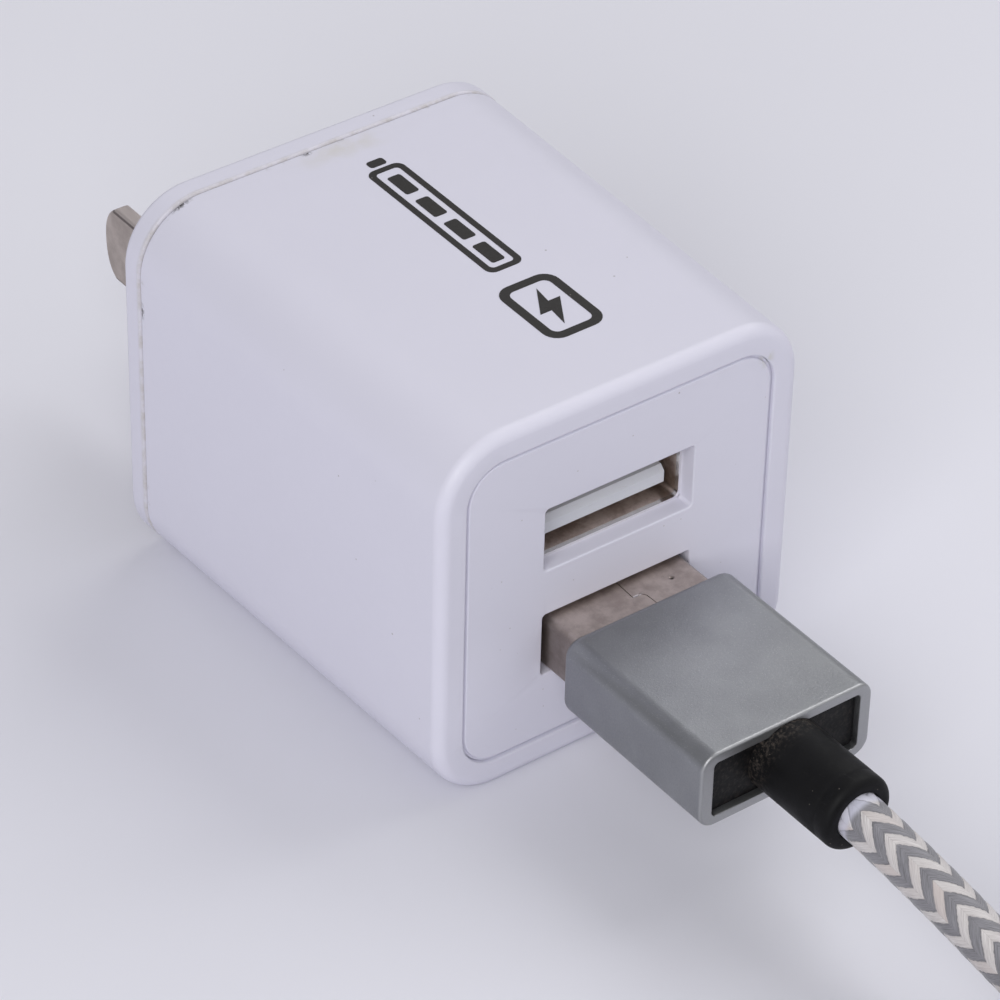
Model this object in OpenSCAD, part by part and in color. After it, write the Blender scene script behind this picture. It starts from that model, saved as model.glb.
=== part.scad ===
// USB wall charger with two ports, and the cable that is plugged into its lower port.
// +Z is up, +X is to the right seen from the front, the ports face -Y and the blades point along +Y.
// The origin is the middle of the flat underside. All sizes are in millimetres.

/* [Body] */
// Width at the front rim
body_w = 30.4; // [30:0.1:32]
// Height at the front rim
body_h = 30; // [29.6:0.1:32]
// Depth from the front rim to the rear face
body_d = 36.6; // [36.2:0.1:40]
// How much wider the rear face is than the front rim
draft_w = 1.8; // [0.4:0.1:2]
// How much taller the rear face is than the front rim, all of it in the top face
draft_h = 0.4; // [0:0.1:1]
// Radius of the four long corners
corner_r = 5.2; // [5:0.1:6]
// Radius of the outer edge of the front rim
rim_edge_r = 0.9; // [0.5:0.1:1.2]
// Wall thickness
wall = 1.6; // [1.4:0.1:1.6]

/* [Front panel] */
// Width of the rim round the front panel
rim_w = 2.2; // [2:0.1:2.4]
// Width of the groove between the rim and the panel
groove_w = 0.25; // [0.2:0.05:0.6]
// Depth of the groove, from the panel's face
groove_d = 0.2; // [0.1:0.05:0.5]
// How far the panel sits behind the rim
panel_set = 0.15; // [0.1:0.05:0.3]
// Thickness of the panel
panel_t = 1.35; // [1.2:0.05:1.4]

/* [Ports] */
// Height of the lower port's middle above the underside
lower_port_z = 10.4; // [10.2:0.1:10.8]
// Distance between the middles of the two ports
port_pitch = 9; // [8.8:0.1:9.4]
// Width of a port's window in the panel
window_w = 12.7; // [12.6:0.1:12.8]
// Height of a port's window in the panel
window_h = 5.2; // [5.1:0.1:5.3]

/* [Rear cover and blades] */
// Thickness of the rear cover that shows behind the seam
cover_t = 2; // [1.8:0.1:2.4]
// Width of the seam between the shell and the rear cover
seam_w = 0.1; // [0.05:0.05:0.2]
// Distance between the middles of the two blades
blade_spacing = 12.7; // [12.6:0.1:12.8]
// Height of a blade's section
blade_h = 6.3; // [6.2:0.1:6.5]
// Thickness of a blade
blade_t = 1.4; // [1.4:0.1:1.6]
// Length of a blade behind the rear face
blade_l = 17.3; // [16:0.1:18]
// Height of the blades' middle above the underside
blade_z = 14.6; // [14:0.1:16]

/* [Plug] */
// Width of the plug's steel shell
plug_w = 12; // [11.9:0.1:12.1]
// Height of the plug's steel shell
plug_h = 4.5; // [4.4:0.1:4.5]
// Length of the plug's steel shell in front of its housing
plug_l = 12; // [11.8:0.1:12]
// Gap between the front panel and the plug's housing
plug_gap = 3.35; // [3.3:0.05:4]
// Width of the plug's aluminium housing
housing_w = 14.5; // [14:0.1:15]
// Height of the plug's aluminium housing
housing_h = 6.2; // [6.1:0.1:6.5]
// Length of the plug's aluminium housing
housing_l = 15.2; // [14:0.1:18]
// Corner radius of the housing's section
housing_r = 1.3; // [0.9:0.1:1.5]
// How far the black end face sits inside the housing
end_set = 0.5; // [0.2:0.1:1]

/* [Cord] */
// Diameter of the braided cord
cord_d = 3.5; // [3:0.1:4]
// Diameter of the rubber boot
boot_d = 5.7; // [5:0.1:5.8]
// Length of the boot behind the housing's rim
boot_l = 7.5; // [6:0.1:9]

/* [Hidden] */
$fn = 64;

eps = 0.01;
front_y = -body_d / 2;
rear_y = body_d / 2;
seam_y = rear_y - cover_t;
panel_y = front_y + panel_set;
upper_port_z = lower_port_z + port_pitch;

// The rim ends just in front of the panel's flange
lip_y = panel_y + panel_t - 0.05;
flange_t = 1.2;
flange_w = 1.4;
flange_out = 0.75;
loose = 0.05;

// USB-A receptacle: opening, metal thickness, depth and tongue
port_w = 12.3;
port_h = 4.8;
port_t = 0.3;
port_y = panel_y + panel_t;
board_y = -3;
tongue_w = 11;
tongue_t = 1.7;
tongue_drop = 0.95;
tongue_front = port_y + 0.8;
contact_xs = [-3.5, -1, 1, 3.5];
contact_w = 1;

// Boards
board_t = 1.2;
main_board_z = 3.2;
main_top = main_board_z + board_t;
main_board_w = 23.8;
main_board_front = -14.6;
main_board_rear = 15.9;

// Transformer
core_x = 4.8;
core_y = 9.7;
core_w = 13.4;
core_d = 6.2;
core_h = 13.6;
core_leg = 1.6;
core_z = main_top + 1.2;

// Plug and its housing, on the lower port's axis
plug_t = 0.3;
plug_front = panel_y - plug_gap + plug_l;
housing_front = panel_y - plug_gap;
housing_rear = housing_front - housing_l;
sleeve_w = plug_w + 0.5;
sleeve_h = plug_h + 0.1;
sleeve_r = 0.4;
shell_tail = 5;
boot_end = housing_rear - boot_l;

// Cord. The stretch between the boot and the coil, from points chosen by hand
cord_r = cord_d / 2;
tie_t = 0.5;
coil_x = -15.25;
coil_y = -88;
coil_out = 25;
coil_in = 10.4;
coil_z = tie_t;
coil_h = 3 * cord_d;
run_points = [[0, boot_end, lower_port_z], [0, -47, 10.2], [0, -50, 9.9], [0, -54, 9.4], [0, -58, 8.8],
              [0.2, -62, 8], [0.95, -66, 6.85], [2.2, -70, 5.4], [3.9, -74, 4], [5.82, -78.17, 2.9],
              [7.35, -83.2, 2.4]];
// The stretch from the coil's last turn to the connector that lies on the coil
tail_points = [[-5.48, -97.77, 9.25], [-8.42, -99.84, 9.43], [-11.75, -101.07, 9.92], [-15.25, -101.38, 10.62],
               [-19.33, -100.92, 11.56], [-22.24, -99.72, 12.31], [-24.73, -97.81, 13], [-26.64, -95.32, 13.57],
               [-27.84, -92.41, 13.95], [-28.25, -89.3, 14.1]];

// The connector on the cord's far end points along +Y from the tail's last point
tip_x = -28.25;
tip_z = coil_z + coil_h + housing_h / 2;
tip_start = -89.3;
tip_housing_w = 11.6;
tip_housing_l = 14;
tip_shell_w = 8.25;
tip_shell_h = 2.4;
tip_shell_l = 6.65;
tip_front = tip_start + boot_l + tip_housing_l;

// Half the body's width, and its top, at a distance along Y
function half_w(y) = body_w / 2 + draft_w / 2 * (y - front_y) / body_d;
function top_z(y) = body_h + draft_h * (y - front_y) / body_d;

// Shapes

// A child outline in X and Z, extruded from y0 to y1
module extrude_y(y0, y1) {
    translate([0, y1, 0])
        rotate([90, 0, 0])
            linear_extrude(y1 - y0)
                children();
}

// A rectangle with round corners
module rounded_rect(w, h, r) {
    square([w - 2 * r, h], center = true);
    square([w, h - 2 * r], center = true);
    for (sx = [-1, 1], sz = [-1, 1])
        translate([sx * (w / 2 - r), sz * (h / 2 - r)])
            circle(r = r);
}

// A rounded bar along Y, centred on x and z
module bar_y(x, z, w, h, r, y0, y1) {
    extrude_y(y0, y1)
        translate([x, z])
            rounded_rect(w, h, r);
}

// A rounded tube along Y
module tube_y(x, z, w, h, r, t, y0, y1) {
    extrude_y(y0, y1)
        translate([x, z])
            difference() {
                rounded_rect(w, h, r);
                rounded_rect(w - 2 * t, h - 2 * t, max(r - t, 0.2));
            }
}

// A block from its lowest corner and its size
module block(x0, y0, z0, w, d, h) {
    translate([x0, y0, z0])
        cube([w, d, h]);
}

// The body's outline at y, drawn in by inset
module body_outline(y, inset) {
    translate([0, top_z(y) / 2])
        rounded_rect(2 * half_w(y) - 2 * inset, top_z(y) - 2 * inset, corner_r - inset);
}

// A disc for one long corner at y, with its front edge rounded by edge
module corner_disc(y, inset, edge) {
    r = corner_r - inset;
    rotate([-90, 0, 0])
        rotate_extrude($fn = 48)
            polygon(concat([[0, 0], [r - edge, 0]],
                           [for (a = [15:15:75]) [r - edge + edge * sin(a), edge - edge * cos(a)]],
                           [[r, edge], [r, edge + eps], [0, edge + eps]]));
}

// The drafted body between y0 and y1, drawn in by inset
module drafted(y0, y1, inset, edge) {
    hull()
        for (end = [[y0, edge], [y1 - eps, 0]])
            for (sx = [-1, 1], top = [0, 1])
                translate([sx * (half_w(end[0]) - corner_r), end[0],
                           top ? top_z(end[0]) - corner_r : corner_r])
                    corner_disc(end[0], inset, end[1]);
}

// Casing

module main_shell() {
    color("white") {
        difference() {
            drafted(front_y, seam_y - seam_w, 0, rim_edge_r);
            drafted(lip_y, seam_y + 1, wall, 0);
            bar_y(0, body_h / 2, body_w - 2 * rim_w, body_h - 2 * rim_w, corner_r - rim_w,
                  front_y - 1, lip_y + 1);
        }
        board_rails();
    }
}

// Ribs inside the side walls that carry the main board's edges
module board_rails() {
    rail_t = 0.8;
    rail_in = main_board_w / 2 - 0.4;
    rail_out = half_w(-10) - wall + 0.4;
    for (x = [-rail_out, rail_in], z = [main_board_z - rail_t - loose, main_top + loose])
        block(x, -10, z, rail_out - rail_in, 22, rail_t);
}

module front_panel() {
    fit_gap = 0.03;
    w = body_w - 2 * rim_w;
    h = body_h - 2 * rim_w;
    r = corner_r - rim_w;
    color("white")
        difference() {
            union() {
                bar_y(0, body_h / 2, w - 2 * groove_w, h - 2 * groove_w, r - groove_w, panel_y, port_y);
                bar_y(0, body_h / 2, w - 2 * fit_gap, h - 2 * fit_gap, r - fit_gap,
                      panel_y + groove_d, port_y);
                extrude_y(port_y - eps, port_y + flange_t)
                    translate([0, body_h / 2])
                        difference() {
                            rounded_rect(w + flange_out, h + flange_out, r + flange_out / 2);
                            rounded_rect(w - 2 * flange_w, h - 2 * flange_w, r - flange_w);
                        }
            }
            for (z = [lower_port_z, upper_port_z])
                bar_y(0, z, window_w, window_h, 0.5, panel_y - 1, port_y + 1);
        }
}

module rear_cover() {
    skirt_t = 1.2;
    skirt_l = 2.4;
    skirt_in = wall + 0.05;
    boss_t = 0.7;
    color("white")
        difference() {
            union() {
                extrude_y(seam_y, rear_y)
                    body_outline(rear_y, 0);
                extrude_y(seam_y - skirt_l, seam_y + eps)
                    difference() {
                        body_outline(seam_y - skirt_l, skirt_in);
                        body_outline(seam_y - skirt_l, skirt_in + skirt_t);
                    }
                for (sx = [-1, 1])
                    block(sx * blade_spacing / 2 - 1.6, seam_y - boss_t, blade_z - 4, 3.2, boss_t + eps, 8);
            }
            for (sx = [-1, 1])
                block(sx * blade_spacing / 2 - blade_t / 2, seam_y - 1, blade_z - blade_h / 2,
                      blade_t, cover_t + 2, blade_h);
        }
}

// Mains blades and leads

// One flat blade: an arc at its tip, a bevel on both broad faces, and a solder hole in its root
module blade(sx) {
    tip_arc = 3.7;
    tip_y = rear_y + blade_l;
    root_y = seam_y - 1;
    bevel_l = 1.2;
    bevel_t = 0.9;
    color("#8f8782")
        translate([sx * blade_spacing / 2, 0, 0])
            intersection() {
                block(-blade_t / 2, root_y, blade_z - blade_h / 2, blade_t, tip_y - root_y, blade_h);
                translate([-blade_t, 0, 0])
                    rotate([90, 0, 90])
                        linear_extrude(2 * blade_t)
                            union() {
                                translate([root_y, blade_z - blade_h / 2])
                                    square([tip_y - tip_arc - root_y, blade_h]);
                                translate([tip_y - tip_arc, blade_z])
                                    circle(r = tip_arc);
                            }
                translate([0, 0, blade_z - blade_h])
                    linear_extrude(2 * blade_h)
                        polygon([[-blade_t / 2, root_y - 1], [blade_t / 2, root_y - 1],
                                 [blade_t / 2, tip_y - bevel_l], [bevel_t / 2, tip_y],
                                 [-bevel_t / 2, tip_y], [-blade_t / 2, tip_y - bevel_l]]);
            }
}

module blade_left() {
    blade(-1);
}

module blade_right() {
    blade(1);
}

// An insulated lead from a blade's root down into the main board
module lead(sx, tint) {
    lead_d = 1.1;
    lead_y = seam_y - 0.75;
    top = blade_z - 4.1;
    color(tint)
        translate([sx * blade_spacing / 2, lead_y, main_top])
            cylinder(d = lead_d, h = top - main_top);
}

module lead_left() {
    lead(-1, "#20242c");
}

module lead_right() {
    lead(1, "#e8e8ea");
}

// USB side

// Folded metal shell of a receptacle, with spring windows in its top and bottom
module usb_shell(z) {
    color("silver")
        difference() {
            tube_y(0, z, port_w + 2 * port_t, port_h + 2 * port_t, 0.8, port_t, port_y, board_y);
            for (sx = [-1, 1], sz = [-1, 1])
                block(sx * 3.2 - 1.1, port_y + 2.6, z + sz * port_h / 2 - 0.5, 2.2, 5, 1);
        }
}

// Plastic block at the back of a receptacle, and the tongue that carries its contacts
module usb_tongue(z) {
    base_l = 2.4;
    nose = 0.4;
    color("white") {
        bar_y(0, z, port_w - 0.2, port_h - 0.2, 0.5, board_y - base_l, board_y);
        translate([-tongue_w / 2, 0, 0])
            rotate([90, 0, 90])
                linear_extrude(tongue_w)
                    polygon([[board_y - base_l + eps, z - tongue_drop - tongue_t / 2],
                             [tongue_front + nose, z - tongue_drop - tongue_t / 2],
                             [tongue_front, z - tongue_drop - tongue_t / 2 + nose],
                             [tongue_front, z - tongue_drop + tongue_t / 2 - nose],
                             [tongue_front + nose, z - tongue_drop + tongue_t / 2],
                             [board_y - base_l + eps, z - tongue_drop + tongue_t / 2]]);
    }
}

// Four contact strips on the tongue's upper face
module usb_contacts(z) {
    strip_t = 0.1;
    color("gold")
        for (x = contact_xs)
            block(x - contact_w / 2, tongue_front + 1, z - tongue_drop + tongue_t / 2,
                  contact_w, board_y - 2.4 - tongue_front - 1, strip_t);
}

module usb_shell_upper() {
    usb_shell(upper_port_z);
}

module usb_shell_lower() {
    usb_shell(lower_port_z);
}

module usb_tongue_upper() {
    usb_tongue(upper_port_z);
}

module usb_tongue_lower() {
    usb_tongue(lower_port_z);
}

module usb_contacts_upper() {
    usb_contacts(upper_port_z);
}

module usb_contacts_lower() {
    usb_contacts(lower_port_z);
}

// Upright board behind the receptacles
module usb_board() {
    color("#2f6b3f")
        block(-10.5, board_y, main_top, 21, board_t, 20);
}

module port_controller() {
    color("#202020")
        block(-1.5, board_y + board_t, 14, 3, 1, 1.8);
}

// Boards and components

module main_board() {
    color("#2f6b3f")
        difference() {
            block(-main_board_w / 2, main_board_front, main_board_z, main_board_w,
                  main_board_rear - main_board_front, board_t);
            transformer_pins(0.9, main_board_z - 1, board_t + 2);
        }
}

// Two rows of upright pins under the transformer, or the holes for them
module transformer_pins(d, z0, h) {
    for (sy = [-1, 1], i = [-2:2])
        translate([core_x + i * 2.5, core_y + sy * 4.4, z0])
            cylinder(d = d, h = h, $fn = 24);
}

// Ferrite core: a frame round the winding, with a centre leg
module transformer_core() {
    window_h = core_h - 4.4;
    window_x = (core_w - 2 * core_leg - 3) / 2;
    color("#3a3a3c")
        difference() {
            block(core_x - core_w / 2, core_y - core_d / 2, core_z, core_w, core_d, core_h);
            for (x = [core_x - core_w / 2 + core_leg, core_x + 1.5])
                block(x, core_y - core_d / 2 - 1, core_z + 2.2, window_x, core_d + 2, window_h);
        }
}

// Bobbin: two flanges, a tube round the centre leg, and a foot with two rows of pins
module transformer_bobbin() {
    flange_z0 = core_z + 2.3;
    flange_z1 = core_z + core_h - 2.3 - 0.7;
    color("#1f2a1f") {
        difference() {
            union() {
                for (z = [flange_z0, flange_z1])
                    block(core_x - 5, core_y - 5.2, z, 10, 10.4, 0.7);
                block(core_x - 2.1, core_y - 3.7, flange_z0, 4.2, 7.4, flange_z1 - flange_z0 + eps);
            }
            block(core_x - 1.6, core_y - 3.2, flange_z0 - 1, 3.2, 6.4, core_h);
        }
        for (sy = [-1, 1])
            block(core_x - 6, core_y + sy * 4.4 - 0.8, main_top + 0.4, 12, 1.6, core_z + 2.5 - main_top - 0.4);
        transformer_pins(0.6, main_board_z - 0.25, core_z - main_board_z + 1);
    }
}

module transformer_winding() {
    z0 = core_z + 3.05;
    color("#e0b020")
        difference() {
            bar_stack(core_x, core_y, 9.2, 10, 1.5, z0, core_h - 6.1);
            block(core_x - 2.15, core_y - 3.75, z0 - 1, 4.3, 7.5, core_h);
        }
}

// An upright block with round corners
module bar_stack(x, y, w, d, r, z0, h) {
    translate([x, y, z0])
        linear_extrude(h)
            rounded_rect(w, d, r);
}

// Upright can capacitor on the main board, with the neck that is crimped round its bung
module can_capacitor(x, y, d, h) {
    translate([x, y, main_top])
        rotate_extrude()
            polygon([[0, 0], [d / 2 - 0.5, 0], [d / 2, 0.5], [d / 2, 1.6], [d / 2 - 0.3, 1.9],
                     [d / 2 - 0.3, 2.1], [d / 2, 2.4], [d / 2, h - 0.4], [d / 2 - 0.4, h], [0, h]]);
}

module input_capacitors() {
    color("#2b2b33")
        for (y = [3, 11.1])
            can_capacitor(-7.5, y, 7.6, 14);
}

module output_capacitor() {
    color("#b9bcc2")
        can_capacitor(1.6, 1.3, 5, 9);
}

// Ceramic disc that stands on its edge
module y_capacitor() {
    color("#2f5fb0")
        translate([9, 2.6, main_top + 4.2])
            rotate([90, 0, 0])
                cylinder(d = 7, h = 3);
}

// Axial choke that lies under the receptacles
module line_inductor() {
    color("#3f7f4f")
        translate([-11, -9, main_top + 1.4])
            rotate([0, 90, 0])
                cylinder(d = 2.6, h = 7);
}

// Upright resistor between the capacitors and the transformer
module fuse_resistor() {
    color("#8a3b2a")
        translate([-3.3, 7.05, main_top])
            cylinder(d = 2.2, h = 8);
}

module bridge_rectifier() {
    color("#202020")
        block(-10, 5, main_board_z - 1.2, 4.6, 3.8, 1.2);
}

module controller_chip() {
    color("#202020")
        block(1, -1, main_board_z - 1.2, 4.9, 3.9, 1.2);
}

module optocoupler() {
    color("#e6e6e2")
        block(-2.2, -7, main_top, 4.4, 3.6, 2);
}

module output_rectifier() {
    color("#202020")
        block(4, -12, main_top, 5.2, 4, 1.8);
}

// Thin tray between the board's underside and the shell
module insulating_sheet() {
    tray_t = 0.2;
    color("#d8d0a8")
        block(-10, main_board_front + 1, wall + 0.02, 20, 27, tray_t);
}

// Plug in the lower port

module plug_shell() {
    hole_y = plug_front - 5.2;
    color("#9a9290")
        difference() {
            tube_y(0, lower_port_z, plug_w, plug_h, 0.6, plug_t, housing_front - shell_tail, plug_front);
            for (sx = [-1, 1], sz = [-1, 1])
                block(sx * 2.9 - 1.25, hole_y - 1, lower_port_z + sz * plug_h / 2 - 0.5, 2.5, 2, 1);
        }
}

module plug_insulator() {
    z0 = lower_port_z + 0.27;
    color("white")
        block(-plug_w / 2 + plug_t + 0.1, housing_front - shell_tail, z0,
              plug_w - 2 * plug_t - 0.2, plug_l + shell_tail - 0.3, plug_h / 2 - plug_t - 0.37);
}

module plug_contacts() {
    strip_t = 0.15;
    color("gold")
        for (x = contact_xs)
            block(x - contact_w / 2, housing_front + 2, lower_port_z + 0.27 - strip_t,
                  contact_w, plug_l - 3, strip_t);
}

// Metal sleeve from y0 to y1, with a round relief at y0 for the boot
module housing(x, z, w, y0, y1) {
    relief_l = end_set + 0.5;
    side_t = (housing_w - sleeve_w) / 2;
    color("#8a8d92")
        difference() {
            bar_y(x, z, w, housing_h, housing_r, y0, y1);
            bar_y(x, z, w - 2 * side_t, sleeve_h, sleeve_r, y0 - 1, y1 + 1);
            translate([x, y0 + relief_l, z])
                rotate([90, 0, 0])
                    cylinder(d = boot_d + 2 * loose, h = relief_l + 1);
        }
}

module plug_housing() {
    housing(0, lower_port_z, housing_w, housing_rear, housing_front);
}

// Black body inside the housing, from the steel shell's tail to the recessed end face
module plug_core() {
    color("#151517")
        bar_y(0, lower_port_z, sleeve_w - 0.02, sleeve_h - 0.02, sleeve_r,
              housing_rear + end_set, housing_front - shell_tail);
}

// Round rubber boot along Y, from its root in a housing to its rounded end
module boot(x, z, root_y, end_y) {
    edge = 0.6;
    r = boot_d / 2;
    l = abs(end_y - root_y);
    color("#17181a")
        translate([x, root_y, z])
            rotate([end_y < root_y ? 90 : -90, 0, 0])
                rotate_extrude()
                    union() {
                        square([r, l - edge]);
                        square([r - edge, l]);
                        translate([r - edge, l - edge])
                            circle(r = edge);
                    }
}

module plug_boot() {
    boot(0, lower_port_z, housing_rear + end_set, boot_end);
}

// Cord

// The direction of a route at point i. Its two ends have the directions that are given
function heading(p, i, ends) =
    i == 0 ? ends[0]
    : i == len(p) - 1 ? ends[1]
    : (p[i + 1] - p[i - 1]) / norm(p[i + 1] - p[i - 1]);

// A ring of points round point i of a route
function ring(p, i, ends, sides) =
    let (t = heading(p, i, ends),
         across = cross(t, [0, 0, 1]) / norm(cross(t, [0, 0, 1])),
         up = cross(across, t))
    [for (k = [0:sides - 1])
        p[i] + cord_r * (cos(360 * k / sides) * across + sin(360 * k / sides) * up)];

// A closed tube that follows a route
module cord_tube(p, ends) {
    sides = 8;
    n = len(p);
    points = [for (i = [0:n - 1]) each ring(p, i, ends, sides)];
    walls = [for (i = [0:n - 2], k = [0:sides - 1])
        let (a = i * sides + k, b = i * sides + (k + 1) % sides)
        each [[a, b, b + sides], [a, b + sides, a + sides]]];
    start_cap = [[for (k = [sides - 1:-1:0]) k]];
    end_cap = [[for (k = [0:sides - 1]) (n - 1) * sides + k]];
    color("#a9a7ab")
        polyhedron(points, concat(walls, start_cap, end_cap), convexity = 4);
}

module cord_run() {
    cord_tube(run_points, [[0, -1, 0], [0.208, -0.978, 0]]);
}

module cord_tail() {
    cord_tube(tail_points, [[-0.72, -0.69, 0], [0, 1, 0]]);
}

// The outer shape of the coiled length
module cord_coil() {
    soft = 1.5;
    color("#a9a7ab")
        translate([coil_x, coil_y, coil_z + coil_h / 2])
            rotate_extrude()
                translate([(coil_in + coil_out) / 2, 0])
                    rounded_rect(coil_out - coil_in, coil_h, soft);
}

// A strap that holds the coil's turns together
module cable_tie() {
    tie_w = 5;
    ease = 0.3;
    tie_angle = -30;
    inner = coil_in - 0.5;
    outer = coil_out + ease;
    color("#1c1c1f")
        translate([coil_x, coil_y, 0])
            rotate([0, 0, tie_angle])
                difference() {
                    block(inner - tie_t, -tie_w / 2, 0, outer - inner + 2 * tie_t, tie_w, coil_h + 2 * tie_t);
                    block(inner, -tie_w / 2 - 1, tie_t, outer - inner, tie_w + 2, coil_h);
                }
}

// Connector on the far end

module tip_boot() {
    boot(tip_x, tip_z, tip_start + boot_l + end_set, tip_start);
}

module tip_housing() {
    housing(tip_x, tip_z, tip_housing_w, tip_start + boot_l, tip_front);
}

module tip_core() {
    color("#151517")
        difference() {
            bar_y(tip_x, tip_z, tip_housing_w - 2.02, sleeve_h - 0.02, sleeve_r,
                  tip_start + boot_l + end_set, tip_front - 0.3);
            bar_y(tip_x, tip_z, tip_shell_w, tip_shell_h, tip_shell_h / 2 - 0.05, tip_front - 4, tip_front);
        }
}

module tip_shell() {
    color("#b5b6b8")
        tube_y(tip_x, tip_z, tip_shell_w, tip_shell_h, tip_shell_h / 2 - 0.05, 0.3,
               tip_front - 4, tip_front + tip_shell_l);
}

// Contact carrier: an open box inside the far connector's shell
module tip_tongue() {
    color("#202020")
        difference() {
            bar_y(tip_x, tip_z, tip_shell_w - 0.62, tip_shell_h - 0.62, 0.88,
                  tip_front - 4, tip_front + tip_shell_l - 0.6);
            bar_y(tip_x, tip_z, 6.7, 0.9, 0.4, tip_front + 1, tip_front + tip_shell_l);
        }
}

main_shell();
front_panel();
rear_cover();
blade_left();
blade_right();
lead_left();
lead_right();
main_board();
usb_board();
usb_shell_upper();
usb_shell_lower();
usb_tongue_upper();
usb_tongue_lower();
usb_contacts_upper();
usb_contacts_lower();
transformer_core();
transformer_bobbin();
transformer_winding();
input_capacitors();
output_capacitor();
y_capacitor();
line_inductor();
fuse_resistor();
bridge_rectifier();
controller_chip();
optocoupler();
output_rectifier();
port_controller();
insulating_sheet();
plug_shell();
plug_insulator();
plug_contacts();
plug_housing();
plug_core();
plug_boot();
cord_run();
cord_coil();
cord_tail();
cable_tie();
tip_shell();
tip_tongue();
tip_housing();
tip_core();
tip_boot();
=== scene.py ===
"""The looks of a USB wall charger and the cable in its lower port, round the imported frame.

Lengths are in millimetres until build() puts a mesh in metres. +Z is up and the ports face -Y.
"""
import math

import bmesh
import bpy
from mathutils import Matrix, Vector
from mathutils.geometry import tessellate_polygon


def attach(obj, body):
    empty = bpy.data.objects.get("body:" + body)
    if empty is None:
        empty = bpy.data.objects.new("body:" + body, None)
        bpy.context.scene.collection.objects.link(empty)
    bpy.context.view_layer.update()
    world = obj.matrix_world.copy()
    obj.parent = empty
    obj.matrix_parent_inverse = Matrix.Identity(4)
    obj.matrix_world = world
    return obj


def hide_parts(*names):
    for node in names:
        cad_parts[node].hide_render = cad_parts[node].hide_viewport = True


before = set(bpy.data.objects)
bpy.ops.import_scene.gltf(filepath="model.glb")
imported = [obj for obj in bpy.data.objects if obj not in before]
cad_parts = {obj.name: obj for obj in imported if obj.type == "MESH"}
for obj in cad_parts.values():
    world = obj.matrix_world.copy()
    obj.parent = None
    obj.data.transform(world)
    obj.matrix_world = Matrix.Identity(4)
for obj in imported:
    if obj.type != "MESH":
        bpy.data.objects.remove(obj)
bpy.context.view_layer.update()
MM = 0.001

# Sizes that part.scad gives
BODY_W, BODY_H, BODY_D = 30.4, 30.0, 36.6
DRAFT_W, DRAFT_H = 1.8, 0.4
CORNER_R, RIM_EDGE, RIM_W, WALL = 5.2, 0.9, 2.2, 1.6
FRONT_Y, REAR_Y = -BODY_D / 2, BODY_D / 2
COVER_T, SEAM_W = 2.0, 0.1
SEAM_Y = REAR_Y - COVER_T
PANEL_Y = FRONT_Y + 0.15
PANEL_BACK = PANEL_Y + 1.35
LIP_Y = PANEL_BACK - 0.05
OPENING_W, OPENING_H, OPENING_R = BODY_W - 2 * RIM_W, BODY_H - 2 * RIM_W, CORNER_R - RIM_W
GROOVE, GROOVE_D = 0.25, 0.2
WINDOW_W, WINDOW_H, WINDOW_R = 12.7, 5.2, 0.3
LOWER_Z, PORT_PITCH = 10.4, 9.0
UPPER_Z = LOWER_Z + PORT_PITCH
BLADE_X, BLADE_Z = 6.35, 14.6
BLADE_T, BLADE_H, BLADE_L = 1.4, 6.3, 17.3
BLADE_TIP = REAR_Y + BLADE_L
PLUG_W, PLUG_H, PLUG_L, PLUG_GAP = 12.0, 4.5, 12.0, 3.35
HOUSING_W, HOUSING_H, HOUSING_L, HOUSING_R = 14.5, 6.2, 15.2, 1.3
HOUSING_FRONT = PANEL_Y - PLUG_GAP
HOUSING_REAR = HOUSING_FRONT - HOUSING_L
PLUG_FRONT = HOUSING_FRONT + PLUG_L
SLEEVE_H, SLEEVE_WALL, END_SET = 4.6, 1.0, 0.5
BOOT_R, BOOT_L = 2.85, 7.5
BOOT_END = HOUSING_REAR - BOOT_L
CORD_R = 1.75
TIP_X, TIP_Z, TIP_W, TIP_L, TIP_START = -28.25, 14.1, 11.6, 14.0, -89.3
TIP_REAR = TIP_START + BOOT_L
TIP_FRONT = TIP_REAR + TIP_L
COIL_X, COIL_Y = -15.25, -88.0

# The pit on the plug's top face, in x and y; its darkness is painted shade
PIT = (3.7, -19.54)


def put(name, data):
    """Adds an object to the scene."""
    made = bpy.data.objects.new(name, data)
    bpy.context.scene.collection.objects.link(made)
    return made


# ---------------------------------------------------------------- camera

def place_camera():
    """Aims the camera by its azimuth, elevation and tilt."""
    azimuth, elevation, tilt = (math.radians(a) for a in (-37.5015, 37.317, 1.1385))
    forward = Vector((-math.sin(azimuth) * math.cos(elevation),
                      math.cos(azimuth) * math.cos(elevation), -math.sin(elevation)))
    level = Vector((math.cos(azimuth), math.sin(azimuth), 0))
    lean = math.sin(tilt) / math.cos(elevation)
    right = level * math.sqrt(1 - lean * lean) + level.cross(forward) * lean
    up = right.cross(forward)
    data = bpy.data.cameras.new("camera")
    data.sensor_width, data.lens = 36.0, 171.79
    data.clip_start, data.clip_end = 0.01, 20.0
    camera = put("camera", data)
    place = Matrix((right, up, -forward)).transposed().to_4x4()
    place.translation = Vector((-162.51, -216.56, 215.27)) * MM
    camera.matrix_world = place
    bpy.context.scene.camera = camera


# ---------------------------------------------------------------- materials

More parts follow.
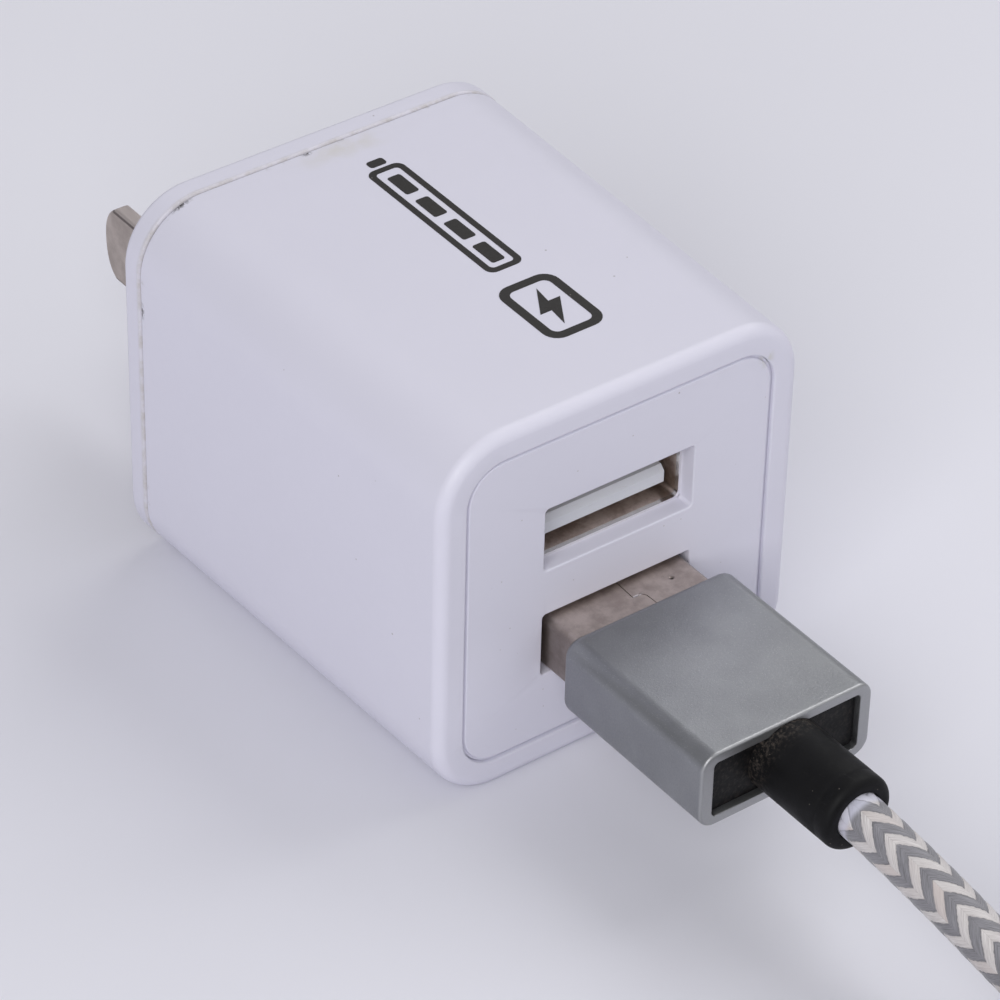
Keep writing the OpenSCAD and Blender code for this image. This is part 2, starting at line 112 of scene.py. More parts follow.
class Paint:
    """One procedural material. What is uniform is set on the shader's own sockets."""

    def __init__(self, name, **sockets):
        self.material = bpy.data.materials.new(name)
        self.material.use_nodes = True
        self.tree = self.material.node_tree
        self.shader = self.tree.nodes["Principled BSDF"]
        for key, value in sockets.items():
            self.shader.inputs[key.replace("_", " ")].default_value = value

    def node(self, kind, *inputs, **settings):
        made = self.tree.nodes.new("ShaderNode" + kind)
        for key, value in settings.items():
            setattr(made, key, value)
        for place, value in enumerate(inputs):
            self.feed(made.inputs[place], value)
        return made

    def feed(self, socket, value):
        if isinstance(value, bpy.types.NodeSocket):
            self.tree.links.new(value, socket)
        elif value is not None:
            socket.default_value = value

    def math(self, operation, a, b=None, c=None):
        return self.node("Math", a, b, c, operation=operation).outputs[0]

    def times(self, a, b):
        return self.math("MULTIPLY", a, b)

    def off(self, value, middle):
        """How far a value is from the middle, either way."""
        return self.math("ABSOLUTE", self.math("SUBTRACT", value, middle))

    def place(self):
        """The point in the object's frame, in millimetres."""
        coordinates = self.node("TexCoord").outputs["Object"]
        scaled = self.node("VectorMath", coordinates, operation="SCALE")
        scaled.inputs["Scale"].default_value = 1 / MM
        return scaled.outputs[0]

    def axes(self, vector):
        return self.node("SeparateXYZ", vector).outputs

    def stretch(self, vector, x, y, z):
        return self.node("VectorMath", vector, (x, y, z), operation="MULTIPLY").outputs[0]

    def texture(self, kind, output, vector, **inputs):
        made = self.node(kind)
        self.feed(made.inputs["Vector"], vector)
        for key, value in inputs.items():
            made.inputs[key].default_value = value
        return made.outputs[output]

    def noise(self, vector, scale, detail, roughness=0.5):
        return self.texture("TexNoise", 0, vector, Scale=scale, Detail=detail, Roughness=roughness)

    def cells(self, vector, scale, output="Distance"):
        return self.texture("TexVoronoi", output, vector, Scale=scale)

    def fit(self, value, low, high, to_low=0.0, to_high=1.0):
        """Maps low..high smoothly to to_low..to_high."""
        made = self.node("MapRange", value, low, high, to_low, to_high)
        made.interpolation_type = "SMOOTHSTEP"
        return made.outputs[0]

    def mix(self, share, a, b):
        made = self.node("Mix", data_type="RGBA")
        self.feed(made.inputs[0], share)
        for socket, value in ((made.inputs[6], a), (made.inputs[7], b)):
            self.feed(socket, value)
        return made.outputs[2]

    def specks(self, vector, scale, size, share):
        """Small specks of dust: a share of the cells of a fine pattern have one."""
        spot = self.fit(self.cells(vector, scale), size, size * 0.5)
        chosen = self.math("LESS_THAN", self.axes(self.cells(vector, scale, "Color"))[0], share)
        return self.times(spot, chosen)

    def near(self, vector, point, sizes):
        """1 at a point and 0 outside an ellipsoid round it."""
        shift = self.node("VectorMath", vector, tuple(point), operation="SUBTRACT").outputs[0]
        shift = self.stretch(shift, *(1 / s for s in sizes))
        length = self.node("VectorMath", shift, operation="LENGTH").outputs["Value"]
        return self.fit(length, 1.0, 0.0)

    def finish(self, base, rough, height, distance, strength):
        """Feeds the shader its colour, roughness and relief, and gives back the material."""
        relief = self.node("Bump")
        relief.inputs["Strength"].default_value = strength
        relief.inputs["Distance"].default_value = distance * MM
        self.feed(relief.inputs["Height"], height)
        for key, value in (("Base Color", base), ("Roughness", rough), ("Normal", relief.outputs[0])):
            self.feed(self.shader.inputs[key], value)
        return self.material


def rgb(r, g, b):
    return (r, g, b, 1.0)


def shade(colour, share):
    """A colour made lighter or darker."""
    return rgb(*(min(1, c * share) for c in colour))


def white_plastic(name, colour, wear):
    """Fine-grained moulded plastic with faint mottling, a few specks of dust, and its own wear."""
    paint = Paint(name, IOR=1.47)
    at = paint.place()
    tone = paint.noise(at, 0.12, 3.0)
    base = paint.mix(tone, shade(colour, 0.985), shade(colour, 1.012))
    base = paint.mix(paint.times(paint.specks(at, 0.45, 0.045, 0.16), 0.55), base, rgb(0.22, 0.20, 0.18))
    base = wear(paint, at, base)
    rough = paint.fit(paint.noise(at, 1.3, 4.0), 0.3, 0.7, 0.40, 0.52)
    return paint.finish(base, rough, paint.noise(at, 9.0, 3.0), 0.006, 0.5)


def shell_wear(paint, at, base):
    """Grime and dark patches along the rear seam, a faint yellow stain on top beside it, and groove_stain."""
    y = paint.axes(at)[1]
    stain = paint.near(at, (0.6, 15.2, 30.3), (6.0, 1.9, 2.0))
    stain = paint.times(stain, paint.fit(paint.noise(at, 0.5, 4.0), 0.3, 0.75))
    base = paint.mix(paint.times(stain, 0.5), base, rgb(0.58, 0.55, 0.46))
    edge = paint.fit(y, SEAM_Y - 0.75, SEAM_Y - 0.1)
    grime = paint.times(edge, paint.fit(paint.noise(at, 0.9, 5.0, 0.7), 0.55, 0.72))
    base = paint.mix(paint.times(grime, 0.45), base, rgb(0.30, 0.27, 0.24))
    for x, z, size in ((-12.6, 30.05, 1.2), (-2.0, 30.37, 0.6), (-16.03, 22.5, 1.0)):
        patch = paint.near(at, (x, SEAM_Y - 0.22, z), (size, 0.42, size))
        patch = paint.times(patch, paint.fit(paint.noise(at, 4.5, 4.0, 0.7), 0.43, 0.52))
        base = paint.mix(patch, base, rgb(0.05, 0.045, 0.045))
    return groove_stain(paint, at, base)


def groove_stain(paint, at, base):
    """A yellowish stain at the panel's upper right corner."""
    stain = paint.near(at, (12.2, -18.1, 26.9), (0.9, 0.6, 1.1))
    stain = paint.times(stain, paint.fit(paint.noise(at, 1.6, 4.0), 0.35, 0.65))
    return paint.mix(paint.times(stain, 0.55), base, rgb(0.47, 0.46, 0.33))


def cover_wear(paint, at, base):
    """A warm line of grime on the cover's edge at the seam."""
    y = paint.axes(at)[1]
    edge = paint.fit(y, SEAM_Y + 0.45, SEAM_Y + 0.05)
    grime = paint.times(edge, paint.fit(paint.noise(at, 0.8, 5.0, 0.7), 0.35, 0.7, 0.25, 0.8))
    return paint.mix(grime, base, rgb(0.46, 0.43, 0.40))


def panel_wear(paint, at, base):
    """Specks all over the front panel, and groove_stain."""
    dust = paint.specks(at, 1.3, 0.09, 0.14)
    base = paint.mix(paint.times(dust, 0.5), base, rgb(0.30, 0.27, 0.24))
    return groove_stain(paint, at, base)


def tongue_wear(paint, at, base):
    """Rub marks, and the line of brown spots that plugs leave across the upper tongue's front."""
    z = paint.axes(at)[2]
    rubbed = paint.noise(paint.stretch(at, 0.8, 1, 8.0), 1.0, 5.0, 0.7)
    rubbed = paint.times(paint.fit(rubbed, 0.6, 0.74), 0.45)
    base = paint.mix(rubbed, base, rgb(0.35, 0.31, 0.27))
    off = paint.off(z, UPPER_Z + 0.75)
    spots = paint.fit(paint.noise(paint.stretch(at, 1.0, 1.0, 3.0), 2.4, 4.0, 0.7), 0.50, 0.62)
    line = paint.times(paint.fit(off, 0.16, 0.03), spots)
    return paint.mix(paint.times(line, 0.7), base, rgb(0.42, 0.33, 0.24))


def metal(name, light, dark, rough):
    """Metal with cloudy tarnish and a fine grain."""
    paint = Paint(name, Metallic=1.0)
    at = paint.place()
    cloudy = paint.fit(paint.noise(at, 0.35, 5.0, 0.62), 0.32, 0.68)
    base = paint.mix(cloudy, rgb(*dark), rgb(*light))
    fine = paint.noise(at, 6.0, 4.0, 0.65)
    return paint.finish(base, paint.fit(fine, 0.25, 0.75, rough - 0.07, rough + 0.07), fine, 0.004, 0.6)


def blade_metal(name):
    """Worn plating with a grain along the blade, a painted highlight on both narrow edges and a painted line
    of shade along each rounded edge.
    """
    paint = Paint(name, Metallic=1.0)
    at = paint.place()
    z = paint.axes(at)[2]
    cloudy = paint.fit(paint.noise(at, 0.45, 5.0, 0.65), 0.32, 0.68)
    base = paint.mix(cloudy, rgb(0.39, 0.337, 0.305), rgb(0.525, 0.463, 0.422))
    off = paint.off(z, BLADE_Z)
    # Painted highlight: both narrow edges made near-white as if catching the light.
    edge = paint.fit(off, BLADE_H / 2 - 0.28, BLADE_H / 2 - 0.08)
    base = paint.mix(edge, base, rgb(0.86, 0.77, 0.74))
    # Painted shade: a dark line along the rounded edges between the broad and narrow faces.
    corner = paint.off(off, BLADE_H / 2 - 0.2)
    base = paint.mix(paint.fit(corner, 0.13, 0.05, 0.0, 0.8), base, rgb(0.12, 0.10, 0.095))
    fine = paint.noise(paint.stretch(at, 1.0, 0.15, 1.5), 6.0, 4.0, 0.65)
    return paint.finish(base, paint.fit(fine, 0.25, 0.75, 0.32, 0.45), fine, 0.004, 0.6)


def plug_steel(name):
    """Handled steel: a warm patina, side walls darkened by painted shade, a painted glint on the seam's jog
    where it is also polished, and painted shade in the pit.
    """
    paint = Paint(name, Metallic=1.0)
    at = paint.place()
    cloudy = paint.fit(paint.noise(at, 0.55, 6.0, 0.68), 0.34, 0.66)
    base = paint.mix(cloudy, rgb(0.42, 0.357, 0.320), rgb(0.585, 0.512, 0.462))
    marks = paint.fit(paint.noise(paint.stretch(at, 1.0, 2.5, 1.0), 2.4, 5.0, 0.75), 0.60, 0.70)
    base = paint.mix(paint.times(marks, 0.4), base, rgb(0.28, 0.22, 0.19))
    x = paint.axes(at)[0]
    # Painted shade: the side walls darkened, standing in for the shadowed floor they reflect.
    painted_wall_shade = paint.fit(paint.math("ABSOLUTE", x), PLUG_W / 2 - 0.45, PLUG_W / 2 - 0.05)
    base = paint.mix(paint.times(painted_wall_shade, 0.5), base, rgb(0.10, 0.082, 0.075))
    top = LOWER_Z + PLUG_H / 2
    # Painted shade: the pit filled with near-black.
    base = paint.mix(paint.near(at, (*PIT, top), (0.34, 0.24, 0.5)), base, rgb(0.05, 0.04, 0.035))
    # Painted highlight: a glint on the seam's jog; the lower roughness there is a real polish.
    glint = paint.near(at, (0.55, -19.72, top), (0.62, 0.16, 0.5))
    base = paint.mix(glint, base, rgb(0.97, 0.95, 0.93))
    fine = paint.noise(paint.stretch(at, 1.0, 0.3, 1.0), 6.0, 4.0, 0.65)
    rough = paint.fit(fine, 0.25, 0.75, 0.38, 0.50)
    return paint.finish(base, paint.math("MULTIPLY_ADD", glint, -0.2, rough), fine, 0.004, 0.6)


def port_steel(name):
    """A receptacle's shell: tarnished brown inside, with a clean band at its mouth whose near-white colour is
    a painted highlight.
    """
    paint = Paint(name, Metallic=1.0)
    at = paint.place()
    y = paint.axes(at)[1]
    cloudy = paint.fit(paint.noise(at, 0.8, 6.0, 0.7), 0.34, 0.66)
    inside = paint.mix(cloudy, rgb(0.52, 0.42, 0.36), rgb(0.80, 0.70, 0.63))
    # The band at the mouth is clean steel with lower roughness, and its near-white colour is a painted
    # highlight.
    clean_lip_and_highlight = paint.fit(y, PANEL_BACK + 0.42, PANEL_BACK + 0.28)
    streaks = paint.noise(paint.stretch(at, 3.0, 1.0, 1.0), 1.5, 3.0)
    bright = paint.mix(streaks, rgb(0.86, 0.84, 0.83), rgb(1.0, 0.99, 0.98))
    roughness = paint.fit(clean_lip_and_highlight, 0.0, 1.0, 0.34, 0.22)
    return paint.finish(paint.mix(clean_lip_and_highlight, inside, bright), roughness, paint.noise(at, 5.0, 3.0), 0.004, 0.5)


def blasted_aluminium(name):
    """Bead-blasted and anodised: a satin grey with fine bright sparks and a painted highlight on the rim at
    the rear.
    """
    paint = Paint(name, Metallic=0.9)
    at = paint.place()
    beads = paint.noise(at, 7.0, 3.0, 0.7)
    sparks = paint.specks(at, 9.0, 0.40, 0.22)
    tone = paint.fit(paint.noise(at, 0.3, 3.0), 0.3, 0.7)
    base = paint.mix(tone, rgb(0.285, 0.292, 0.305), rgb(0.315, 0.322, 0.335))
    base = paint.mix(paint.times(sparks, 0.22), base, rgb(0.60, 0.61, 0.64))
    y = paint.axes(at)[1]
    # Painted highlight: the rounded rim at the rear made lighter.
    rim = paint.fit(y, HOUSING_REAR + 0.35, HOUSING_REAR + 0.10)
    rim = paint.times(rim, paint.fit(y, HOUSING_REAR - 2, HOUSING_REAR - 1))
    base = paint.mix(rim, base, rgb(0.40, 0.405, 0.415))
    return paint.finish(base, paint.fit(beads, 0.3, 0.7, 0.36, 0.50), beads, 0.03, 0.55)


def dusty_black(name, base_y, rough=0.56, dusty=0.40):
    """Black rubber or plastic with pale dust that thickens towards base_y and a few rub marks."""
    paint = Paint(name, Specular_IOR_Level=0.16)
    at = paint.place()
    y = paint.axes(at)[1]
    tone = paint.noise(at, 0.8, 4.0)
    base = paint.mix(tone, rgb(0.0035, 0.0035, 0.004), rgb(0.008, 0.008, 0.009))
    rubbed = paint.fit(paint.noise(paint.stretch(at, 1.6, 0.5, 1.6), 1.6, 6.0, 0.72), 0.60, 0.75)
    base = paint.mix(paint.times(rubbed, 0.25), base, rgb(0.05, 0.048, 0.048))
    close = paint.fit(paint.off(y, base_y), 2.6, 0.0)
    powder = paint.fit(paint.noise(at, 3.5, 6.0, 0.75), 0.46, 0.66)
    dust = paint.times(close, powder)
    base = paint.mix(paint.times(dust, dusty), base, rgb(0.20, 0.165, 0.14))
    specks = paint.times(paint.specks(at, 2.2, 0.13, 0.08), dusty)
    base = paint.mix(specks, base, rgb(0.26, 0.23, 0.20))
    roughness = paint.fit(tone, 0.3, 0.7, rough - 0.06, rough + 0.08)
    return paint.finish(base, roughness, paint.noise(at, 5.0, 4.0), 0.02, 0.5)


def braid(name):
    """Two colours of yarn in chevrons, with a painted highlight beside the boot and painted shade between
    strands. The map's u counts columns and v chevrons.
    """
    paint = Paint(name, IOR=1.5, Sheen_Weight=0.25, Sheen_Roughness=0.5)
    uv = paint.node("UVMap", uv_map="braid").outputs[0]
    u, v, _ = paint.axes(uv)
    zigzag = paint.math("MULTIPLY_ADD", paint.math("PINGPONG", u, 1.0), BRAID_RISE, v)
    wander = paint.noise(paint.stretch(uv, 2.3, 7.0, 1.0), 1.0, 2.0)
    wandering = paint.math("MULTIPLY_ADD", wander, 0.13, paint.math("SUBTRACT", zigzag, 0.065))
    drawn = paint.math("FRACT", wandering)
    white = paint.times(paint.fit(drawn, 0.0, 0.035), paint.fit(drawn, 0.515, 0.48))
    doubled = paint.times(zigzag, 2.0)
    across, strand = paint.math("FRACT", doubled), paint.math("FLOOR", doubled)
    along, column = paint.math("FRACT", u), paint.math("FLOOR", u)
    yarn = paint.node("CombineXYZ", paint.times(u, 1.4), paint.times(zigzag, 34.0), strand).outputs[0]
    fibre = paint.noise(yarn, 1.0, 3.0, 0.6)
    patch = paint.noise(paint.node("CombineXYZ", column, strand).outputs[0], 0.73, 1.0)
    pale = paint.mix(paint.fit(fibre, 0.3, 0.7), rgb(0.52, 0.48, 0.475), rgb(0.80, 0.765, 0.755))
    pale = paint.mix(paint.fit(patch, 0.5, 0.68, 0.0, 0.5), pale, rgb(0.62, 0.505, 0.465))
    grey = paint.mix(paint.fit(fibre, 0.3, 0.7), rgb(0.115, 0.112, 0.125), rgb(0.31, 0.305, 0.335))
    base = paint.mix(white, grey, pale)
    base = paint.mix(paint.times(patch, 0.22), base, rgb(0.42, 0.41, 0.43))
    # Painted highlight: the yarn made paler and lavender beside the boot, where it is lit.
    base = paint.mix(paint.fit(v, 0.41, 0.19, 0.0, 0.8), base, rgb(0.66, 0.66, 0.78))
    side = paint.math("MINIMUM", across, paint.math("SUBTRACT", 1.0, across))
    end = paint.math("MINIMUM", along, paint.math("SUBTRACT", 1.0, along))
    gap = paint.math("MINIMUM", paint.fit(side, 0.0, 0.12), paint.fit(end, -0.06, 0.05))
    # Painted shade: darker in the gaps between strands.
    base = paint.mix(paint.fit(gap, 0.0, 1.0, 0.30, 0.0), base, rgb(0.13, 0.125, 0.135))
    height = paint.math("MULTIPLY_ADD", fibre, 0.35, paint.times(gap, 0.5))
    return paint.finish(base, paint.fit(fibre, 0.3, 0.7, 0.42, 0.62), height, 0.09, 0.8)


def strap_fabric(name):
    """Woven nylon strap with a short nap."""
    paint = Paint(name, Sheen_Weight=0.4)
    at = paint.place()
    x, y, z = paint.axes(at)
    weft = paint.math("SINE", paint.times(paint.math("ADD", x, z), 14.0))
    warp = paint.math("SINE", paint.times(paint.math("ADD", y, z), 14.0))
    weave = paint.times(weft, warp)
    nap = paint.noise(at, 8.0, 4.0, 0.7)
    base = paint.mix(nap, rgb(0.010, 0.010, 0.012), rgb(0.045, 0.045, 0.05))
    base = paint.mix(paint.fit(weave, -1.0, 1.0, 0.0, 0.4), base, rgb(0.06, 0.06, 0.065))
    roughness = paint.fit(nap, 0.3, 0.7, 0.75, 0.95)
    return paint.finish(base, roughness, paint.math("MULTIPLY_ADD", nap, 0.5, weave), 0.05, 0.8)


def component(name, colour, rough, metallic=0.0, scale=1.2, spread=0.25):
    """A plain finish: its colour with mottling, dust and a fine grain."""
    paint = Paint(name, Metallic=metallic)
    at = paint.place()
    tone = paint.noise(at, scale, 4.0, 0.6)
    base = paint.mix(tone, shade(colour, 1 - spread), shade(colour, 1 + spread))
    base = paint.mix(paint.times(paint.specks(at, 1.7, 0.1, 0.1), 0.4), base, rgb(0.4, 0.38, 0.35))
    roughness = paint.fit(tone, 0.3, 0.7, rough - 0.08, rough + 0.08)
    return paint.finish(base, roughness, paint.noise(at, scale * 5, 3.0), 0.02, 0.5)


def circuit_board(name):
    """Green solder mask over copper tracks on a fine grid."""
    paint = Paint(name)
    at = paint.place()
    grid = paint.node("VectorMath", at, (0.8, 0.8, 0.8), operation="SNAP").outputs[0]
    routed = paint.noise(grid, 0.35, 1.0)
    track = paint.fit(paint.off(routed, 0.5), 0.045, 0.03)
    tone = paint.noise(at, 0.5, 3.0)
    base = paint.mix(tone, rgb(0.010, 0.075, 0.028), rgb(0.018, 0.11, 0.045))
    base = paint.mix(paint.times(track, 0.6), base, rgb(0.05, 0.22, 0.08))
    return paint.finish(base, paint.fit(tone, 0.3, 0.7, 0.28, 0.4), track, 0.03, 0.6)


def tabletop(name):
    """A matt, slightly cool paper backdrop with a few specks."""
    paint = Paint(name, Specular_IOR_Level=0.15)
    at = paint.place()
    tone = paint.noise(at, 0.02, 3.0)
    base = paint.mix(tone, rgb(0.775, 0.773, 0.835), rgb(0.800, 0.798, 0.860))
    specks = paint.times(paint.specks(at, 0.09, 0.018, 0.3), 0.25)
    base = paint.mix(specks, base, rgb(0.35, 0.34, 0.34))
    return paint.finish(base, paint.fit(tone, 0.3, 0.7, 0.75, 0.85), paint.noise(at, 1.5, 3.0), 0.01, 0.3)


# ---------------------------------------------------------------- mesh helpers

# Edges that turn by more degrees than this look sharp
SHARP = 35


def ring(x, y, z, w, h, r, steps=14):
    """A rounded rectangle in a plane across Y, as points in order."""
    points = []
    for quarter, (sx, sz) in enumerate(((1, 1), (-1, 1), (-1, -1), (1, -1))):
        for step in range(steps + 1):
            a = math.pi / 2 * (quarter + step / steps)
            points.append(Vector((x + sx * (w / 2 - r) + r * math.cos(a), y,
                                  z + sz * (h / 2 - r) + r * math.sin(a))))
    return points


def loft(bm, rings, closed=False):
    """Skins rings of points in order, and returns their vertices."""
    made = [[bm.verts.new(p) for p in points] for points in rings]
    pairs = list(zip(made, made[1:])) + ([(made[-1], made[0])] if closed else [])
    for a, b in pairs:
        for i in range(len(a)):
            j = (i + 1) % len(a)
            bm.faces.new((a[i], a[j], b[j], b[i]))
    return made


def block(bm, rings):
    """Skins rings of points in order and closes both ends."""
    made = loft(bm, rings)
    for end in (made[0], made[-1]):
        bm.faces.new(end)


def cap(bm, *loops):
    """Fills a flat face across Y. The first loop is its outline and the others are holes in it."""
    verts = [v for loop in loops for v in loop]
    for triangle in tessellate_polygon([[Vector((v.co.x, v.co.z, 0)) for v in loop] for loop in loops]):
        bm.faces.new([verts[i] for i in triangle])


def arc(steps, size):
    """(inset, advance) pairs of a round edge, from the end face to the side."""
    return [(size * (1 - math.sin(a)), size * (1 - math.cos(a)))
            for a in (math.pi / 2 * i / steps for i in range(steps + 1))]


def in_metres(name, bm):
    """A mesh from one that is in millimetres."""
    mesh = bpy.data.meshes.new(name)
    bm.to_mesh(mesh)
    bm.free()
    mesh.transform(Matrix.Scale(MM, 4))
    return mesh


def build(name, bm, paint, body, slot, *nodes, sharp=SHARP, weighted=True):
    """Makes the piece, puts it in metres, hangs it on its body's empty and hides the CAD nodes it stands in
    for.
    """
    bmesh.ops.remove_doubles(bm, verts=bm.verts, dist=1e-4)
    bmesh.ops.recalc_face_normals(bm, faces=bm.faces)
    mesh = in_metres(name, bm)
    mesh.materials.append(paint)
    mesh.shade_smooth()
    mesh.set_sharp_from_angle(angle=math.radians(sharp))
    piece = put(name, mesh)
    if weighted:
        piece.modifiers.new("weighted", "WEIGHTED_NORMAL").keep_sharp = True
    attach(piece, body)
    if nodes:
        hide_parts(*nodes)
    return piece


def carve(piece, *cutters):
    """Cuts closed meshes, in millimetres, out of a piece, and keeps the result."""
    for bm in cutters:
        bmesh.ops.recalc_face_normals(bm, faces=bm.faces)
        mesh = in_metres("cutter", bm)
        tool = put("cutter", mesh)
        cut = piece.modifiers.new("cut", "BOOLEAN")
        cut.operation, cut.solver, cut.object = "DIFFERENCE", "EXACT", tool
        piece.modifiers.move(len(piece.modifiers) - 1, 0)
        bpy.context.view_layer.update()
        shown = [m for m in piece.modifiers if m.type != "BOOLEAN"]
        for m in shown:
            m.show_viewport = False
        evaluated = piece.evaluated_get(bpy.context.evaluated_depsgraph_get())
        result = bpy.data.meshes.new_from_object(evaluated)
        for m in shown:
            m.show_viewport = True
        piece.modifiers.remove(cut)
        bpy.data.objects.remove(tool)
        bpy.data.meshes.remove(mesh)
        old, name = piece.data, piece.data.name
        piece.data = result
        bpy.data.meshes.remove(old)
        result.name = name
        result.shade_smooth()
        result.set_sharp_from_angle(angle=math.radians(SHARP))


def prism(points, z0, z1):
    """A closed block over a flat outline of (x, y) points."""
    bm = bmesh.new()
    block(bm, [[Vector((x, y, z)) for x, y in points] for z in (z0, z1)])
    return bm


def circle(x, y, z, r, sides):
    """A circle in a plane across Y, as points in order."""
    angles = (2 * math.pi * i / sides for i in range(sides))
    return [Vector((x + r * math.cos(a), y, z + r * math.sin(a))) for a in angles]


def round_bar(x, z, r, y0, y1):
    """A closed cylinder along Y."""
    bm = bmesh.new()
    block(bm, [circle(x, y, z, r, 96) for y in (y0, y1)])
    return bm


# ---------------------------------------------------------------- cord

BRAID_COLUMNS = 8
BRAID_PITCH = 2.4
BRAID_RISE = 0.70
BRAID_START = 0.40
BRAID_TURN = math.radians(107.9)
RELIEF = 0.11

RUN_POINTS = [(0, BOOT_END + 1, LOWER_Z), (0, BOOT_END, LOWER_Z), (0, -47, 10.2), (0, -50, 9.9),
              (0, -54, 9.4), (0, -58, 8.8), (0.2, -62, 8.0), (0.95, -66, 6.85), (2.2, -70, 5.4),
              (3.9, -74, 4.0)]
TAIL_POINTS = [(-5.48, -97.77, 9.25), (-8.42, -99.84, 9.43), (-11.75, -101.07, 9.92),
               (-15.25, -101.38, 10.62), (-19.33, -100.92, 11.56), (-22.24, -99.72, 12.31),
               (-24.73, -97.81, 13.0), (-26.64, -95.32, 13.57), (-27.84, -92.41, 13.95),
               (TIP_X, TIP_START, TIP_Z), (TIP_X, TIP_START + 1, TIP_Z)]


def coil_points():
    """Three layers of turns: inwards, outwards and inwards, with half a turn's climb between them."""
    outer, inner, upper, last = 23.25, 12.75, 20.625, 13.82
    low, middle, high = (CORD_R + 0.5 + 2 * CORD_R * layer for layer in range(3))
    start_angle, points_per_turn = math.radians(25), 24
    landing_h, landing_turns = 0.65, 0.07
    # Turns, first and last radius, first and last height, and how far the stage bulges outwards
    stages = ((3.0, outer, inner, low, low, 0.0), (0.5, inner, inner, low, middle, -0.5),
              (2.25, inner, upper, middle, middle, 0.0), (0.5, upper, upper, middle, high, 0.5),
              (1.9444, upper, last, high, high, 0.0))
    points, turned = [], 0.0
    for turns, r0, r1, z0, z1, bulge in stages:
        count = round(turns * points_per_turn)
        for i in range(count):
            share = i / count
            eased = share * share * (3 - 2 * share)
            r = r0 + (r1 - r0) * share + bulge * math.sin(math.pi * share)
            done = turned + turns * share
            angle = start_angle - 2 * math.pi * done
            landing = landing_h * max(0.0, 1 - done / landing_turns) ** 2
            points.append((COIL_X + r * math.cos(angle), COIL_Y + r * math.sin(angle),
                           z0 + (z1 - z0) * eased + landing))
        turned += turns
    return points


def smooth_path(points, spacing_near, spacing_far, near):
    """Even points along a smooth curve through the given ones, closer together in its first stretch."""
    p = [Vector(q) for q in points]
    p = [2 * p[0] - p[1]] + p + [2 * p[-1] - p[-2]]
    fine, steps = [], 24
    for a, b, c, d in zip(p, p[1:], p[2:], p[3:]):
        before, here, after = (b - a).length, (c - b).length, (d - c).length
        leave = ((b - a) * here / before + (c - b) * before / here) * here / (before + here)
        arrive = ((c - b) * after / here + (d - c) * here / after) * here / (here + after)
        for i in range(steps):
            t = i / steps
            along = (c - b) * t * t * (3 - 2 * t)
            fine.append(b + along + leave * t * (1 - t) ** 2 - arrive * t * t * (1 - t))
    fine.append(p[-2])
    found, distances, walked, due = [fine[0]], [0.0], 0.0, spacing_near
    for a, b in zip(fine, fine[1:]):
        step = (b - a).length
        while due <= walked + step:
            found.append(a.lerp(b, (due - walked) / step))
            distances.append(due)
            due += spacing_near if due < near else spacing_far
        walked += step
    found.append(fine[-1])
    distances.append(walked)
    return found, distances


def braided_cord():
    """A tube whose surface has the braid's strands: each column of them leans the other way from the next."""
    path, distances = smooth_path(RUN_POINTS + coil_points() + TAIL_POINTS, spacing_near=0.16,
                                  spacing_far=0.45, near=52.0)
    per_column = 5
    sides = BRAID_COLUMNS * per_column
    bm = bmesh.new()
    layer = bm.loops.layers.uv.new("braid")
    rings = []
    for i, (centre, s) in enumerate(zip(path, distances)):
        ahead = (path[min(i + 1, len(path) - 1)] - path[max(i - 1, 0)]).normalized()
        side = ahead.cross(Vector((0, 0, 1))).normalized()
        up = side.cross(ahead)
        verts = []
        for k in range(sides):
            a = BRAID_TURN - 2 * math.pi * k / sides
            u = k / per_column
            zigzag = s / BRAID_PITCH - BRAID_START + BRAID_RISE * abs((u + 1) % 2 - 1)
            across = 2 * (2 * zigzag % 1) - 1
            along = 2 * (u % 1) - 1
            r = CORD_R - RELIEF * (0.75 * across ** 4 + 0.5 * along ** 4)
            verts.append(bm.verts.new(centre + r * (math.cos(a) * side + math.sin(a) * up)))
        rings.append(verts)
    for i in range(len(rings) - 1):
        for k in range(sides):
            j = (k + 1) % sides
            face = bm.faces.new((rings[i][k], rings[i][j], rings[i + 1][j], rings[i + 1][k]))
            for loop, du, dv in zip(face.loops, (0, 1, 1, 0), (0, 0, 1, 1)):
                loop[layer].uv = ((k + du) / per_column, distances[i + dv] / BRAID_PITCH - BRAID_START)
    for verts in (rings[0], rings[-1]):
        bm.faces.new(verts)
    piece = build("braided_cord", bm, braid("braided_yarn"), "cable", "cord_braid",
                  "cord_run", "cord_coil", "cord_tail", sharp=80, weighted=False)
    return piece, path, distances[-1] * MM


# ---------------------------------------------------------------- charger

def outline(y, inset=0.0):
    """The drafted body's section at y, drawn in by inset."""
    share = (y - FRONT_Y) / (REAR_Y - FRONT_Y)
    w, h = BODY_W + DRAFT_W * share, BODY_H + DRAFT_H * share
    return ring(0, y, h / 2, w - 2 * inset, h - 2 * inset, CORNER_R - inset)


def opening(y, grow=0.0):
    return ring(0, y, BODY_H / 2, OPENING_W + 2 * grow, OPENING_H + 2 * grow, OPENING_R + grow)


def make_shell(paint):
    bm = bmesh.new()
    end = SEAM_Y - SEAM_W
    rings = [outline(FRONT_Y + back, inset) for inset, back in arc(8, RIM_EDGE)]
    rings += [outline(y) for y in (-12, -6, 0, 6, 12)]
    rings += [outline(end - back, inset) for inset, back in reversed(arc(4, 0.14))]
    rings += [outline(end, WALL), outline(LIP_Y, WALL), opening(LIP_Y)]
    rings += [opening(FRONT_Y + back, inset) for inset, back in reversed(arc(5, 0.16))]
    loft(bm, rings, closed=True)
    build("casing_shell", bm, paint, "charger", "shell_plastic", "main_shell")


